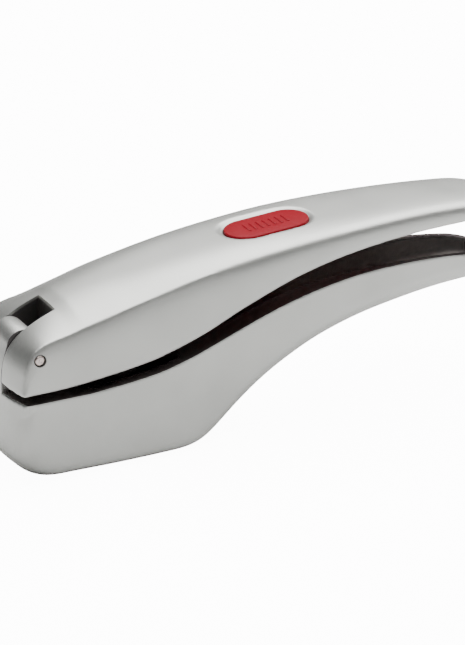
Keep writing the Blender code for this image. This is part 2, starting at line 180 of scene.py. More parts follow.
def crown_power(x):
    """How square the crown's shoulders are along the upper handle."""
    return 2.4 + 1.6 * blend(15.0, 60.0, x) - 0.8 * blend(110.0, 155.0, x)


def steps(start, end, count):
    return [start + (end - start) * i / count for i in range(count + 1)]


TIP_ROWS = [159.0, 161.0, 163.0, 165.0, 166.5, 168.0, 169.3, 170.4, 171.3, 172.0, 172.5,
            172.8, 173.0]
print("upper handle stations:", len(UPPER), "and round the nose:", len(UPPER_NOSE))

# %% [markdown]
# A section of the upper handle is a low crown, a crease, and a side that bulges a little.
# Near the nose the crease is crisp. Towards the tip it fades, which is done by averaging
# each point with its neighbours a few times more at each section.

# %% Sections of the upper handle
CROWN_POINTS = 26
SIDE_POINTS = 14
ROLL = 1.2          # how far the side rolls in under the crease
EDGE_ROUND = 0.9    # radius of the lower edges
EDGE_POINTS = 4
FLOOR_POINTS = 10


def upper_section(apex, crease, edge, half, crease_half, power, soften=0):
    """One closed section: side, crown, side and the flat underneath."""
    reach = math.hypot(crease[0] - edge[0], crease[1] - edge[1])
    low = min(EDGE_ROUND, 0.3 * half) / reach
    right = []
    for i in range(EDGE_POINTS):
        turn = 0.5 * math.pi * i / EDGE_POINTS
        t = low * (1 - math.cos(turn))
        right.append((edge[0] + (crease[0] - edge[0]) * t,
                      half - low * reach * (1 - math.sin(turn)),
                      edge[1] + (crease[1] - edge[1]) * t))
    for i in range(SIDE_POINTS):
        t = low + (1 - low) * i / SIDE_POINTS
        y = crease_half + (half - crease_half) * (1 - t ** 5)
        right.append((edge[0] + (crease[0] - edge[0]) * t, y,
                      edge[1] + (crease[1] - edge[1]) * t))
    for i in range(CROWN_POINTS, 0, -1):
        f = i / CROWN_POINTS
        w = f ** power
        right.append((apex[0] + (crease[0] - apex[0]) * w, crease_half * f,
                      apex[1] + (crease[1] - apex[1]) * w))
    over = right + [(apex[0], 0.0, apex[1])] + [(x, -y, z) for x, y, z in reversed(right)]
    for _ in range(soften):
        over = [over[0]] + [
            tuple(0.25 * a + 0.5 * b + 0.25 * c for a, b, c in zip(*three))
            for three in zip(over, over[1:], over[2:])
        ] + [over[-1]]
    flat = half - low * reach
    under = [(edge[0], flat * (2 * i / FLOOR_POINTS - 1), edge[1])
             for i in range(1, FLOOR_POINTS)]
    return over + under


def nose_edge(x):
    """Height of the nose's lower edge, running smoothly into the first station."""
    ahead = UPPER[0][0] - x
    return UPPER[0][4] - 0.09 * ahead + 0.0032 * ahead ** 2


def upper_sections():
    sections = []
    for step in steps(0.0, 8.0, 32):
        apex_x, apex_z, crease_x, crease_z, edge_x = between(UPPER_NOSE, step)
        sections.append(upper_section((apex_x, apex_z), (crease_x, crease_z),
                                      (edge_x, nose_edge(edge_x)), HEAD_HALF,
                                      HEAD_HALF - ROLL, crown_power(0.0)))
    for x in steps(15.0, 157.5, 75) + TIP_ROWS:
        half, crown, crease, edge = between(UPPER, x)
        share = tip_share(x)
        middle = 0.5 * (crease + edge)
        squeeze = UPPER_TIP + (1 - UPPER_TIP) * share
        crown, crease, edge = (middle + (v - middle) * squeeze for v in (crown, crease, edge))
        half *= share
        soften = int(max(0.0, x - 55.0) / 5.0)
        sections.append(upper_section((x, crown), (x, crease), (x, edge), half,
                                      half - ROLL * share, crown_power(x), soften))
    return sections


print("sections of the upper handle:", len(upper_sections()))

# %% [markdown]
# The wrap itself: a grid has as many columns as a section has points, plus one that meets
# the first again. Merging the doubled column closes the tube, and the two open ends are
# filled.

# %% Wrapping a grid round sections


def wrap(name, sections):
    """A grid moved so that each of its rows follows one section."""
    rows = len(sections)
    columns = len(sections[0])
    bm = bmesh.new()
    bmesh.ops.create_grid(bm, x_segments=columns, y_segments=rows - 1, size=0.5)
    for vert in bm.verts:
        column = round((vert.co.x + 0.5) * columns) % columns
        row = round((vert.co.y + 0.5) * (rows - 1))
        vert.co = at(*sections[row][column])
    bmesh.ops.remove_doubles(bm, verts=bm.verts, dist=1e-7)
    rims = [edge for edge in bm.edges if edge.is_boundary]
    bmesh.ops.holes_fill(bm, edges=rims, sides=0)
    bmesh.ops.recalc_face_normals(bm, faces=bm.faces)
    return as_object(name, bm)


def as_object(name, bm):
    mesh = bpy.data.meshes.new(name)
    bm.to_mesh(mesh)
    bm.free()
    obj = bpy.data.objects.new(name, mesh)
    bpy.context.scene.collection.objects.link(obj)
    return obj


def faces_of(obj):
    return len(obj.data.polygons)


upper = wrap("upper_shell", upper_sections())
print("wrapped upper handle:", faces_of(upper), "faces")

# %% [markdown]
# Real castings are cored and cut. Each cutter here is a plain solid, and a Boolean takes
# it away. The tool pieces are removed afterwards, so only finished pieces stay.

# %% Cutting and joining


def combined(obj, others, operation):
    """The object after one Boolean with each of the others, which are then removed."""
    for other in others:
        tool = obj.modifiers.new(operation.lower(), "BOOLEAN")
        tool.operation = operation
        tool.solver = "EXACT"
        tool.object = other
    settle(obj)
    for other in others:
        bpy.data.objects.remove(other, do_unlink=True)
    return obj


def settle(obj):
    """Turns the object's modifiers into plain mesh."""
    depsgraph = bpy.context.evaluated_depsgraph_get()
    mesh = bpy.data.meshes.new_from_object(obj.evaluated_get(depsgraph))
    obj.modifiers.clear()
    obj.data = mesh
    return obj


def block(name, low, high, rounding=0.0, segments=4, cuts=0):
    """A box between two corners, its upright edges rounded or its faces cut in a grid."""
    bm = bmesh.new()
    size = [high[k] - low[k] for k in range(3)]
    bmesh.ops.create_cube(bm, size=1.0)
    bmesh.ops.scale(bm, vec=[s * MM for s in size], verts=bm.verts)
    bmesh.ops.translate(bm, vec=at(*[0.5 * (low[k] + high[k]) for k in range(3)]),
                        verts=bm.verts)
    if rounding:
        edges = [e for e in bm.edges if abs(e.verts[0].co.z - e.verts[1].co.z) > 1e-6]
        bmesh.ops.bevel(bm, geom=edges, offset=rounding * MM, offset_type="OFFSET",
                        segments=segments, profile=0.5, affect="EDGES", material=-1)
    if cuts:
        bmesh.ops.subdivide_edges(bm, edges=list(bm.edges), cuts=cuts, use_grid_fill=True)
    return as_object(name, bm)


def rod(name, x, z, half, radius, segments=48, chamfer=0.0, rings=False):
    """A round bar across the press, from -half to half, its ends turned in rings."""
    bm = bmesh.new()
    bmesh.ops.create_cone(bm, cap_ends=True, segments=segments, radius1=radius * MM,
                          radius2=radius * MM, depth=2.0 * half * MM)
    if chamfer:
        rims = [e for e in bm.edges if abs(e.verts[0].co.z - e.verts[1].co.z) < 1e-9]
        bmesh.ops.bevel(bm, geom=rims, offset=chamfer * MM, offset_type="OFFSET",
                        segments=3, profile=0.5, affect="EDGES", material=-1)
    if rings:
        ends = [face for face in bm.faces if len(face.verts) == segments]
        for width, depth in ((0.35, 0.0), (0.12, -0.1), (0.25, 0.0), (0.12, 0.1)):
            bmesh.ops.inset_individual(bm, faces=ends, thickness=width * MM, depth=depth * MM)
    bmesh.ops.rotate(bm, matrix=Matrix.Rotation(math.radians(90.0), 3, "X"), verts=bm.verts)
    bmesh.ops.translate(bm, vec=at(x, 0.0, z), verts=bm.verts)
    return as_object(name, bm)


def slab(name, outline, start, end, bevel=0.0):
    """An outline in x and z, extruded across the press between two positions."""
    bm = bmesh.new()
    points = [at(x, start, z) for x, z in outline]
    push = Vector((0.0, (end - start) * MM, 0.0))
    face = bmesh.ops.contextual_create(bm, geom=[bm.verts.new(p) for p in points])["faces"][0]
    made = bmesh.ops.extrude_face_region(bm, geom=[face])
    moved = [item for item in made["geom"] if isinstance(item, bmesh.types.BMVert)]
    bmesh.ops.translate(bm, vec=push, verts=moved)
    bmesh.ops.recalc_face_normals(bm, faces=bm.faces)
    if bevel:
        sharp = [e for e in bm.edges if e.calc_face_angle(0.0) > math.radians(50.0)]
        bmesh.ops.bevel(bm, geom=sharp, offset=bevel * MM, offset_type="OFFSET",
                        segments=3, profile=0.5, affect="EDGES", material=-1)
    return as_object(name, bm)


print("cutting tools are ready")

# %% [markdown]
# The hollow under the upper handle keeps a wall of about 2.6 mm all round, and its mouth
# is rounded. Two hangers come down from its roof to carry the plunger's pin.

# %% Hollow and hangers of the upper handle
WALL = 2.6
MOUTH_ROUND = 0.7
LUG_RADIUS = 5.0
LUG_INNER = 8.5
LUG_OUTER = 12.5
PIVOT_X = (plunger_axis.x - hinge.x) / MM
PIVOT_Z = (plunger_axis.z - hinge.z) / MM


def channel_sections():
    sections = []
    for x in [13.6] + steps(18.0, 154.0, 34) + [158.0, 161.0, 164.0, 166.0, 168.0, 169.3, 169.8]:
        half, crown, crease, edge = between(UPPER, x)
        share = tip_share(x + 3.0)
        inner = max(0.5, (half - WALL - 0.4) * share)
        roof = crown - WALL
        shoulder = crease - WALL + 0.9 * (1 - share)
        right = [(x, inner + MOUTH_ROUND, -30.0)]
        for i in range(EDGE_POINTS + 1):
            turn = 0.5 * math.pi * i / EDGE_POINTS
            right.append((x, inner + MOUTH_ROUND * (1 - math.sin(turn)),
                          edge + MOUTH_ROUND * (1 - math.cos(turn))))
        right.append((x, inner, shoulder))
        for i in range(9, 0, -1):
            f = i / 10
            right.append((x, inner * f, roof + (shoulder - roof) * f ** crown_power(x)))
        left = [(px, -py, pz) for px, py, pz in reversed(right)]
        sections.append(right + [(x, 0.0, roof)] + left)
    return sections


def hanger(name, side):
    outline = [(PIVOT_X - LUG_RADIUS, 12.2)]
    for i in range(25):
        angle = math.pi + math.pi * i / 24
        outline.append((PIVOT_X + LUG_RADIUS * math.cos(angle),
                        PIVOT_Z + LUG_RADIUS * math.sin(angle)))
    outline.append((PIVOT_X + LUG_RADIUS, 13.6))
    return slab(name, outline, side * LUG_INNER, side * LUG_OUTER)


combined(upper, [wrap("hollow", channel_sections())], "DIFFERENCE")
combined(upper, [hanger("hanger_near", -1.0), hanger("hanger_far", 1.0)], "UNION")
print("upper handle after coring:", faces_of(upper), "faces")

# %% [markdown]
# The button's window is a round-ended slot that leans with the handle's back. Around it
# the metal is dished a little, so that a thumb finds it. A stadium is easiest as a circle
# whose right half is moved along by the straight length.

# %% Window and dish
WINDOW_X = 87.3
WINDOW_Z = 22.4
WINDOW_SLOPE = math.radians(4.2)
BUTTON_LENGTH = 28.8
BUTTON_WIDTH = 14.9
PLAY = 0.3
DISH = 2.0
DISH_DEPTH = 0.6


def stadium(name, length, width, low, high, segments=64, bevel=0.0, flare=0.0):
    """A round-ended bar about the window's centre, leaning with the handle's back."""
    reach = 0.5 * (length - width) * MM
    bm = bmesh.new()
    bmesh.ops.create_circle(bm, cap_ends=True, segments=segments, radius=0.5 * width * MM)
    turn = Matrix.Rotation(math.pi / segments, 3, "Z")
    bmesh.ops.rotate(bm, matrix=turn, verts=bm.verts)
    for vert in bm.verts:
        vert.co.x += reach if vert.co.x > 0 else -reach
        vert.co.z = low * MM
    made = bmesh.ops.extrude_face_region(bm, geom=list(bm.faces))
    moved = [item for item in made["geom"] if isinstance(item, bmesh.types.BMVert)]
    bmesh.ops.translate(bm, vec=(0.0, 0.0, (high - low) * MM), verts=moved)
    for vert in moved:
        outward = Vector((vert.co.x - math.copysign(reach, vert.co.x), vert.co.y, 0.0))
        vert.co += outward.normalized() * flare * MM
    bmesh.ops.recalc_face_normals(bm, faces=bm.faces)
    if bevel:
        rim = [e for e in bm.edges if all(abs(v.co.z - high * MM) < 1e-7 for v in e.verts)]
        bmesh.ops.bevel(bm, geom=rim, offset=bevel * MM, offset_type="OFFSET",
                        segments=4, profile=0.5, affect="EDGES", material=-1)
    lean = Matrix.Rotation(-WINDOW_SLOPE, 3, "Y")
    bmesh.ops.rotate(bm, matrix=lean, verts=bm.verts)
    bmesh.ops.translate(bm, vec=at(WINDOW_X, 0.0, WINDOW_Z), verts=bm.verts)
    return as_object(name, bm)


dish = stadium("dish", BUTTON_LENGTH + 2 * PLAY, BUTTON_WIDTH + 2 * PLAY, -DISH_DEPTH, 4.0,
               flare=DISH * (4.0 + DISH_DEPTH) / (1.0 + DISH_DEPTH))
combined(upper, [dish], "DIFFERENCE")
print("dished upper handle:", faces_of(upper), "faces")

# %% [markdown]
# Blasting and coating round every edge of a casting by a few tenths of a millimetre. A
# voxel remesh followed by a little smoothing does the same to the mesh: it evens out the
# faces and softens each edge, inside and out. The nose's slot, the window and the bores
# come after it, because they are machined and stay crisp. The slot's cutter has its faces
# divided, so that the slot's walls get enough points to carry the painted shade later.

# %% Softening a casting
COARSE_VOXEL = 0.55
FINE_VOXEL = 0.35
PASSES = 4


def soften_casting(obj, voxel=COARSE_VOXEL):
    remesh = obj.modifiers.new("even_skin", "REMESH")
    remesh.mode = "VOXEL"
    remesh.voxel_size = voxel * MM
    relax = obj.modifiers.new("blasted", "SMOOTH")
    relax.factor = 0.5
    relax.iterations = PASSES
    return settle(obj)


def shade(obj, degrees=38.0):
    obj.data.shade_smooth()
    obj.data.set_sharp_from_angle(angle=math.radians(degrees))
    return obj


PIN_RADIUS = 1.6
BORE_RADIUS = 1.95
SLOT_HALF = 6.45
SLOT_BACK = 10.9

soften_casting(upper)
print("soft upper handle:", faces_of(upper), "faces")
window = stadium("window", BUTTON_LENGTH + 2 * PLAY, BUTTON_WIDTH + 2 * PLAY, -9.0, 9.0)
bore = rod("bore", 0.0, 0.0, 30.0, BORE_RADIUS)
slot = block("slot", (-16.0, -SLOT_HALF, -16.0), (SLOT_BACK, SLOT_HALF, 22.0), cuts=40)
pivot_bore = rod("pivot_bore", PIVOT_X, PIVOT_Z, 14.0, BORE_RADIUS)
combined(upper, [slot, window, bore, pivot_bore], "DIFFERENCE")
shade(upper)
upper.name = "upper_casting"
print("drilled upper handle:", faces_of(upper), "faces")

# %% [markdown]
# The lower handle is one casting too: a deep box with rounded lower edges, a leaning
# nose, and a handle that sweeps up behind it. Its sections are U shapes that hang from
# the rim. Round the nose they tip forward, so that the last one lies flat along the rim.

# %% Stations of the lower handle
# x, half width, rim height, underside height, corner radius
LOWER = [
    (22.0, 20.3, -13.4, -41.0, 5.0),
    (30.0, 20.5, -12.7, -41.0, 5.0),
    (40.0, 20.5, -11.4, -41.0, 5.0),
    (48.0, 20.2, -9.6, -41.0, 5.0),
    (52.0, 19.7, -8.7, -40.8, 5.2),
    (56.0, 19.0, -7.8, -39.9, 5.4),
    (60.0, 18.2, -6.9, -38.0, 5.7),
    (65.0, 17.3, -5.6, -34.7, 6.0),
    (70.0, 16.5, -4.3, -31.3, 6.3),
    (78.0, 15.3, -2.2, -26.4, 6.5),
    (87.0, 14.3, 0.0, -21.7, 6.5),
    (100.0, 13.2, 2.5, -16.3, 6.5),
    (115.0, 12.2, 4.3, -12.2, 6.5),
    (130.0, 11.6, 4.8, -9.6, 6.5),
    (145.0, 11.3, 4.5, -7.7, 6.5),
    (160.0, 10.8, 2.9, -6.8, 6.0),
    (173.0, 10.2, 0.4, -6.9, 5.0),
]
# step, rim x, underside x and z, bow of the middle, corner radius
LOWER_NOSE = [
    (0, -3.6, -7.9, -14.1, 3.0, 5.0),
    (1, -1.5, -8.2, -18.0, 3.0, 5.0),
    (2, 1.0, -8.8, -23.5, 3.0, 5.2),
    (3, 3.5, -9.2, -28.5, 3.0, 5.8),
    (4, 6.0, -8.8, -32.8, 3.0, 6.8),
    (5, 8.0, -7.0, -36.2, 2.8, 7.4),
    (6, 10.0, -4.1, -38.8, 2.2, 7.2),
    (7, 12.0, 0.0, -40.4, 1.2, 6.4),
    (8, 14.0, 4.8, -41.0, 0.4, 5.8),
    (9, 17.0, 11.0, -41.0, 0.0, 5.4),
]
NOSE_RIM = -14.0
SPARE = 0.6    # metal above the rim that is ground off later


def lower_section(rim_x, rim_z, base_x, base_z, half, radius, bow):
    """One closed section: side, rounded corner, underside, and the deck on top."""
    height = rim_z - base_z
    depth = height if height > 1.0 else 27.0
    radius = min(radius, 0.85 * depth)
    soft = min(EDGE_ROUND, 0.3 * half)
    right = []
    for i in range(EDGE_POINTS):
        turn = 0.5 * math.pi * i / EDGE_POINTS
        right.append((half - soft * (1 - math.sin(turn)), depth - soft * (1 - math.cos(turn))))
    right += [(half, radius + (depth - soft - radius) * (1.0 - i / 10)) for i in range(10)]
    for i in range(10):
        angle = 0.5 * math.pi * i / 9
        right.append((half - radius * (1 - math.cos(angle)), radius * (1 - math.sin(angle))))
    right += [((half - radius) * (1 - i / 8), 0.0) for i in range(1, 8)]
    profile = right + [(0.0, 0.0)] + [(-y, up) for y, up in reversed(right)]
    profile += [((half - soft) * (2 * i / 10 - 1), depth) for i in range(1, 10)]
    points = []
    for y, up in profile:
        h = up / depth
        x = base_x + bow * (y / HEAD_HALF) ** 2 * (1 - h) + (rim_x - base_x) * h
        points.append((x, y, base_z + height * h))
    return points


def lower_sections():
    sections = []
    for step in steps(0.0, 9.0, 36):
        rim_x, base_x, base_z, bow, radius = between(LOWER_NOSE, step)
        sections.append(lower_section(rim_x, NOSE_RIM + SPARE, base_x, base_z, HEAD_HALF,
                                      radius, bow))
    for x in steps(22.0, 157.5, 75) + TIP_ROWS:
        half, rim, base, radius = between(LOWER, x)
        share = tip_share(x)
        middle = 0.5 * (rim + base)
        squeeze = LOWER_TIP + (1 - LOWER_TIP) * share
        sections.append(lower_section(x, middle + (rim - middle) * squeeze + SPARE, x,
                                      middle + (base - middle) * squeeze,
                                      half * share, radius * share, 0.0))
    return sections


lower = wrap("lower_shell", lower_sections())
print("wrapped lower handle:", faces_of(lower), "faces")

# %% [markdown]
# Three hollows are taken out of it: the chamber for the cloves, whose end walls lean out
# upwards, the outlet under the sieve plate, and the boat-shaped trough that lightens the
# handle. The casting is softened with a little spare metal above its rim. Grinding that
# off leaves a flat rim with a crisp edge. Last the knuckle is joined on, a round head on
# a neck that follows the cheeks.

# %% Chamber, outlet, trough and knuckle
CHAMBER_FRONT = 16.6
CHAMBER_BACK = 48.2
CHAMBER_HALF = 16.2
LEDGE_Z = -39.3
LEDGE_WIDTH = 3.0
KNUCKLE_RADIUS = 5.3
KNUCKLE_HALF = 6.0
TROUGH = [
    (55.0, 4.0),
    (58.0, 6.0),
    (64.0, 7.4),
    (72.0, 7.5),
    (83.0, 6.5),
    (95.0, 6.1),
    (107.0, 6.9),
    (118.0, 7.5),
    (130.0, 7.9),
    (145.0, 8.3),
    (157.0, 7.6),
    (164.0, 5.8),
    (168.0, 3.2),
]


def chamber():
    made = block("chamber", (CHAMBER_FRONT, -CHAMBER_HALF, LEDGE_Z),
                 (CHAMBER_BACK, CHAMBER_HALF, -4.0), rounding=3.0, segments=6)
    middle = at(0.5 * (CHAMBER_FRONT + CHAMBER_BACK), 0.0, 0.0).x
    top = at(0.0, 0.0, -4.0).z
    for vert in made.data.vertices:
        if abs(vert.co.z - top) < 1e-6:
            vert.co.x += -1.8 * MM if vert.co.x < middle else 1.2 * MM
    return made


def trough_sections():
    sections = []
    for x in steps(55.0, 157.0, 42) + [159.0, 161.0, 163.0, 164.5, 166.0, 167.2, 168.0]:
        half, = between(TROUGH, x)
        _half, rim, base, _radius = between(LOWER, x)
        floor = base + 2.8
        if x < 70.0:
            floor += 6.0 * (70.0 - x) / 15.0
        radius = min(0.7 * half, 0.6 * (rim - floor))
        squeeze = LOWER_TIP + (1 - LOWER_TIP) * tip_share(x)
        rim = 0.5 * (rim + base) + 0.5 * (rim - base) * squeeze
        right = [(x, half + 0.5 + MOUTH_ROUND, rim + 8.0)]
        for i in range(EDGE_POINTS, -1, -1):
            turn = 0.5 * math.pi * i / EDGE_POINTS
            right.append((x, half + 0.5 + MOUTH_ROUND * (1 - math.cos(turn)),
                          rim - MOUTH_ROUND * (1 - math.sin(turn))))
        right.append((x, half, floor + radius))
        for i in range(1, 7):
            turn = 0.5 * math.pi * i / 6
            right.append((x, half - radius * (1 - math.cos(turn)),
                          floor + radius * (1 - math.sin(turn))))
        left = [(px, -py, pz) for px, py, pz in reversed(right)]
        sections.append(right + left)
    return sections


def rim_height(x):
    """Height of the lower handle's rim, from the level nose to the round tip."""
    if x < 22.0:
        return NOSE_RIM + (LOWER[0][2] - NOSE_RIM) * max(0.0, (x - 17.0) / 5.0)
    _half, rim, base, _radius = between(LOWER, x)
    middle = 0.5 * (rim + base)
    return middle + (rim - middle) * (LOWER_TIP + (1 - LOWER_TIP) * tip_share(x))


def above_rim():
    """Everything over the rim, to be ground away."""
    return [[(x, -30.0, rim_height(x)), (x, 30.0, rim_height(x)), (x, 30.0, 30.0),
             (x, -30.0, 30.0)] for x in [-20.0, 17.0] + steps(22.0, 158.0, 34) + TIP_ROWS
            + [176.0]]


def knuckle():
    outline = [(-7.8, -15.5), (-7.75, -10.5), (-7.3, -7.0), (-6.7, -4.0), (-6.0, -1.6)]
    for i in range(33):
        angle = math.radians(172.0 - 172.0 * i / 32)
        outline.append((KNUCKLE_RADIUS * math.cos(angle), KNUCKLE_RADIUS * math.sin(angle)))
    outline.append((7.4, -15.5))
    return slab("knuckle", outline, -KNUCKLE_HALF, KNUCKLE_HALF, bevel=0.25)


outlet = block("outlet", (CHAMBER_FRONT + LEDGE_WIDTH, -CHAMBER_HALF + LEDGE_WIDTH, -46.0),
               (CHAMBER_BACK - LEDGE_WIDTH, CHAMBER_HALF - LEDGE_WIDTH, -30.0), rounding=2.0)
combined(lower, [chamber(), outlet, wrap("trough", trough_sections())], "DIFFERENCE")
soften_casting(lower)
combined(lower, [wrap("above_rim", above_rim())], "DIFFERENCE")
combined(lower, [knuckle()], "UNION")
combined(lower, [rod("knuckle_bore", 0.0, 0.0, 12.0, BORE_RADIUS)], "DIFFERENCE")
shade(lower)
lower.name = "lower_casting"
print("soft lower handle:", faces_of(lower), "faces")

# %% [markdown]
# The plunger is a small casting: a rounded foot, a rib along it, and a stem with an eye
# for its pin. Its pieces are simple, so blocks and one slab are joined and then softened
# like the handles.

# %% Plunger
FOOT = ((17.0, -15.3, -36.5), (46.0, 15.3, -32.0))


def stem():
    outline = [(PIVOT_X - 7.0, -33.0), (PIVOT_X - LUG_RADIUS, -27.0)]
    for i in range(25):
        angle = math.pi - math.pi * i / 24
        outline.append((PIVOT_X + LUG_RADIUS * math.cos(angle),
                        PIVOT_Z + LUG_RADIUS * math.sin(angle)))
    outline += [(PIVOT_X + LUG_RADIUS, -27.0), (PIVOT_X + 7.0, -33.0)]
    return slab("stem", outline, -LUG_INNER + PLAY, LUG_INNER - PLAY)


plunger = block("plunger_casting", *FOOT, rounding=2.7, segments=6)
rib = block("rib", (FOOT[0][0] + 3.0, -1.6, -33.0), (FOOT[1][0] - 3.0, 1.6, -28.5))
combined(plunger, [stem(), rib], "UNION")
soften_casting(plunger, FINE_VOXEL)
combined(plunger, [rod("eye", PIVOT_X, PIVOT_Z, 14.0, BORE_RADIUS)], "DIFFERENCE")
shade(plunger)
print("plunger:", faces_of(plunger), "faces")

# %% [markdown]
# The sieve plate is pressed steel with a square field of holes. The holes are cut in one
# go by a group of rods, and a small bevel takes the edge off each.

# %% Sieve plate
HOLE_PITCH = 3.0
HOLE_RADIUS = 0.9
HOLE_ROWS = 8


def field_of(name, centre_x, low, high, radius, tip, segments=16):
    """The same upright rod at every place of the hole pattern."""
    bm = bmesh.new()
    for i in range(HOLE_ROWS):
        for j in range(HOLE_ROWS):
            x = centre_x + (i - 0.5 * (HOLE_ROWS - 1)) * HOLE_PITCH
            y = (j - 0.5 * (HOLE_ROWS - 1)) * HOLE_PITCH
            made = bmesh.ops.create_cone(bm, cap_ends=True, segments=segments,
                                         radius1=tip * MM, radius2=radius * MM,
                                         depth=(high - low) * MM)
            bmesh.ops.translate(bm, vec=at(x, y, 0.5 * (low + high)), verts=made["verts"])
    return as_object(name, bm)


plate_low = LEDGE_Z + PLAY
sieve = block("sieve", (CHAMBER_FRONT + PLAY, -CHAMBER_HALF + PLAY, plate_low),
              (CHAMBER_BACK - PLAY, CHAMBER_HALF - PLAY, plate_low + 2.0), rounding=2.8)
combined(sieve, [field_of("holes", 32.2, plate_low - 2.0, plate_low + 4.0,
                          HOLE_RADIUS, HOLE_RADIUS)], "DIFFERENCE")
burr_edge = sieve.modifiers.new("burr_edge", "BEVEL")
burr_edge.width = 0.12 * MM
burr_edge.segments = 2
burr_edge.angle_limit = math.radians(60.0)
settle(sieve)
shade(sieve)
print("sieve plate:", faces_of(sieve), "faces")

# %% [markdown]
# The two pins are turned steel with a small chamfer. The hinge pin shows its end face in
# each cheek, a little below the surface.

# %% Pins
hinge_pin = shade(rod("hinge_pin_turned", 0.0, 0.0, 19.4, PIN_RADIUS, 64, chamfer=0.5,
                      rings=True))
pivot_pin = shade(rod("plunger_pin_turned", PIVOT_X, PIVOT_Z, LUG_OUTER, PIN_RADIUS, 64,
                      chamfer=0.25))
print("pins:", faces_of(hinge_pin) + faces_of(pivot_pin), "faces")

# %% [markdown]
# The cleaning tool is one red moulding. Its button is a stadium with a rounded rim, and
# low ribs across it give the thumb a hold. Below are the bar to hold it by and the pad
# whose pins fit the sieve.

# %% Cleaning tool
BUTTON_TOP = 0.4
RIB_COUNT = 7
RIB_PITCH = 2.3


def thumb_ribs():
    """Low rounded bars across the button."""
    bm = bmesh.new()
    for i in range(RIB_COUNT):
        bar = bmesh.ops.create_cube(bm, size=1.0)["verts"]
        bmesh.ops.scale(bm, vec=(0.9 * MM, 5.6 * MM, 0.5 * MM), verts=bar)
        shift = (i - 0.5 * (RIB_COUNT - 1)) * RIB_PITCH * MM
        bmesh.ops.translate(bm, vec=(shift, 0.0, (BUTTON_TOP - 0.05) * MM), verts=bar)
    bmesh.ops.bevel(bm, geom=list(bm.edges), offset=0.2 * MM, offset_type="OFFSET",
                    segments=3, profile=0.5, affect="EDGES", material=-1)
    bmesh.ops.rotate(bm, matrix=Matrix.Rotation(-WINDOW_SLOPE, 3, "Y"), verts=bm.verts)
    bmesh.ops.translate(bm, vec=at(WINDOW_X, 0.0, WINDOW_Z), verts=bm.verts)
    return as_object("thumb_ribs", bm)


cleaner = stadium("cleaner_moulding", BUTTON_LENGTH, BUTTON_WIDTH, -5.2, BUTTON_TOP, bevel=0.4)
bar = block("bar", (80.0, -5.0, 16.2), (136.0, 5.0, 18.7), rounding=2.5, segments=6)
pad = block("pad", (59.5, -12.2, 15.0), (84.5, 12.2, 16.8), rounding=2.0, segments=6)
pins = field_of("pad_pins", 71.5, 10.8, 16.4, 0.75, 0.5, segments=12)
combined(cleaner, [bar, pad, pins, thumb_ribs()], "UNION")
shade(cleaner)
print("cleaning tool:", faces_of(cleaner), "faces")

# %% [markdown]
# The castings get painted shade: each is coloured dark inside and under its edges, where shade
# falls, and so are the nose's slot and the knuckle's ends. The two tones could be two materials
# on separate faces, but their border would follow the small faces in steps. Instead each vertex
# stores how deep it lies under the outer skin, and the material turns to the painted shade where
# that smooth field passes zero. The ground rim is crisp, so there each face is flagged by itself
# for its own painted shadow, which has a faint painted red reflection of the tool.

# %% Depth under the skin
SKIN = 0.15
CAP = 1.2    # bright metal left at the crown and at the tips
NOSE_CROWN = [(apex_x, apex_z) for _step, apex_x, apex_z, *_rest in UPPER_NOSE]
NOSE_CROWN.append((15.0, 12.1))


def store_depth(piece, depth_of):
    """Writes a depth in millimetres to every vertex, positive inside the casting's hollow."""
    field = piece.data.attributes.new("depth", "FLOAT", "POINT")
    for vert, item in zip(piece.data.vertices, field.data):
        item.value = max(-3.0, min(3.0, depth_of((vert.co - hinge) / MM)))
    return sum(item.value > 0.0 for item in field.data)


def upper_depth(point):
    if point.x < 13.2:
        crown = between(NOSE_CROWN, point.x)[0]
        # The slot's walls count as inside, so the painted shade darkens them like a shaded gap.
        in_slot = min(SLOT_HALF + 0.2 - abs(point.y), SLOT_BACK + 0.2 - point.x)
        return min(in_slot, 0.3 * (crown - CAP - point.z), 0.2)
    half, crown, crease, edge = between(UPPER, point.x)
    share = max(0.02, tip_share(point.x))
    side = crease + 0.5 * (edge - crease)
    squeeze = UPPER_TIP + (1 - UPPER_TIP) * share
    crown, crease, edge = (side + (v - side) * squeeze for v in (crown, crease, edge))
    half *= share
    f = min(1.0, abs(point.y) / max(0.1, half - ROLL * share))
    skin = crown + (crease - crown) * f ** crown_power(point.x)
    t = max(0.0, min(1.0, (point.z - edge) / (crease - edge)))
    wall = half - ROLL * share * t ** 5
    return min(skin - point.z - CAP, wall - abs(point.y) - EDGE_ROUND - SKIN,
               TIP_END - CAP - point.x)


def lower_depth(point):
    if point.x < 14.0:
        front = -7.9 + 3.4 * (point.y / HEAD_HALF) ** 2
        deck = min(HEAD_HALF - abs(point.y), point.x - front)
        # The knuckle's end faces count as inside, so they get the painted shade of the gap in
        # the slot.
        return min(deck, abs(point.y) - KNUCKLE_HALF + SKIN, point.z - NOSE_RIM - 0.1)
    half, rim, base, radius = between(LOWER, point.x)
    if point.x < 22.0:
        half = HEAD_HALF
    share = max(0.02, tip_share(point.x))
    middle = 0.5 * (rim + base)
    squeeze = LOWER_TIP + (1 - LOWER_TIP) * share
    rim_now = middle + (rim - middle) * squeeze
    base = middle + (base - middle) * squeeze
    half *= share
    radius *= share
    over = abs(point.y) - (half - radius)
    under = base + radius - point.z
    outside = math.hypot(max(over, 0.0), max(under, 0.0)) + min(max(over, under), 0.0)
    deep = radius - outside - 3.0 * SKIN
    return min(deep, rim_now + 0.3 - point.z, TIP_END - CAP - point.x)


